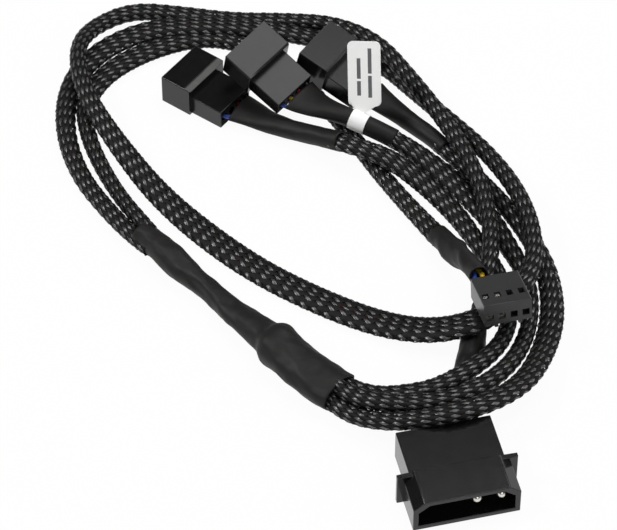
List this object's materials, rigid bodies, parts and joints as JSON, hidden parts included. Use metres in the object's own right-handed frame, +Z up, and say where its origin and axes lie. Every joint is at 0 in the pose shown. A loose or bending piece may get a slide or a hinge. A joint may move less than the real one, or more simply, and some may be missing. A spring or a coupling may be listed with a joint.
{
  "type": "fan splitter cable",
  "caption": "Braided cable that splits a fan signal and a drive power feed to fan plugs, lying in a loose loop.",
  "frame": {"origin": "middle of the box round the plugs and the heat-shrinks, on the table that the cable lies on", "axes": "+Z up from the table, -Y the way the power plug faces, +X to the right of it as seen from above"},
  "size_m": [0.0957, 0.1587, 0.0208],
  "materials": {
    "braided_sleeve": "braided filament",
    "wire_bundle": "plain",
    "heat_shrink": "satin",
    "plug_plastic": "satin",
    "plated_contact": "tin plated",
    "label_paper": "matte",
    "black_wire": "satin",
    "red_wire": "satin",
    "yellow_wire": "satin",
    "blue_wire": "satin"
  },
  "bodies": {
    "root": {"control_heat_shrink": "heat_shrink", "control_lead_sleeve": "braided_sleeve", "control_lead_wires": "wire_bundle", "control_socket_housing": "plug_plastic", "control_terminal_control": "plated_contact", "control_terminal_speed": "plated_contact", "control_wire_control": "blue_wire", "control_wire_speed": "yellow_wire", "fan_left_heat_shrink": "heat_shrink", "fan_left_lead_sleeve": "braided_sleeve", "fan_left_lead_wires": "wire_bundle", "fan_left_pin_control": "plated_contact", "fan_left_pin_ground": "plated_contact", "fan_left_pin_supply": "plated_contact", "fan_left_plug_housing": "plug_plastic", "fan_left_wire_control": "blue_wire", "fan_left_wire_ground": "black_wire", "fan_left_wire_supply": "red_wire", "fan_middle_heat_shrink": "heat_shrink", "fan_middle_lead_sleeve": "braided_sleeve", "fan_middle_lead_wires": "wire_bundle", "fan_middle_pin_control": "plated_contact", "fan_middle_pin_ground": "plated_contact", "fan_middle_pin_speed": "plated_contact", "fan_middle_pin_supply": "plated_contact", "fan_middle_plug_housing": "plug_plastic", "fan_middle_wire_control": "blue_wire", "fan_middle_wire_ground": "black_wire", "fan_middle_wire_speed": "yellow_wire", "fan_middle_wire_supply": "red_wire", "fan_right_heat_shrink": "heat_shrink", "fan_right_lead_sleeve": "braided_sleeve", "fan_right_lead_wires": "wire_bundle", "fan_right_pin_control": "plated_contact", "fan_right_pin_ground": "plated_contact", "fan_right_pin_supply": "plated_contact", "fan_right_plug_housing": "plug_plastic", "fan_right_wire_control": "blue_wire", "fan_right_wire_ground": "black_wire", "fan_right_wire_supply": "red_wire", "junction_heat_shrink": "heat_shrink", "junction_wire_splice": "wire_bundle", "power_heat_shrink": "heat_shrink", "power_lead_sleeve": "braided_sleeve", "power_lead_wires": "wire_bundle", "power_pin_ground": "plated_contact", "power_pin_supply": "plated_contact", "power_plug_housing": "plug_plastic", "power_wire_ground": "black_wire", "power_wire_supply": "red_wire", "speed_lead_label": "label_paper"}
  },
  "joints": []
}
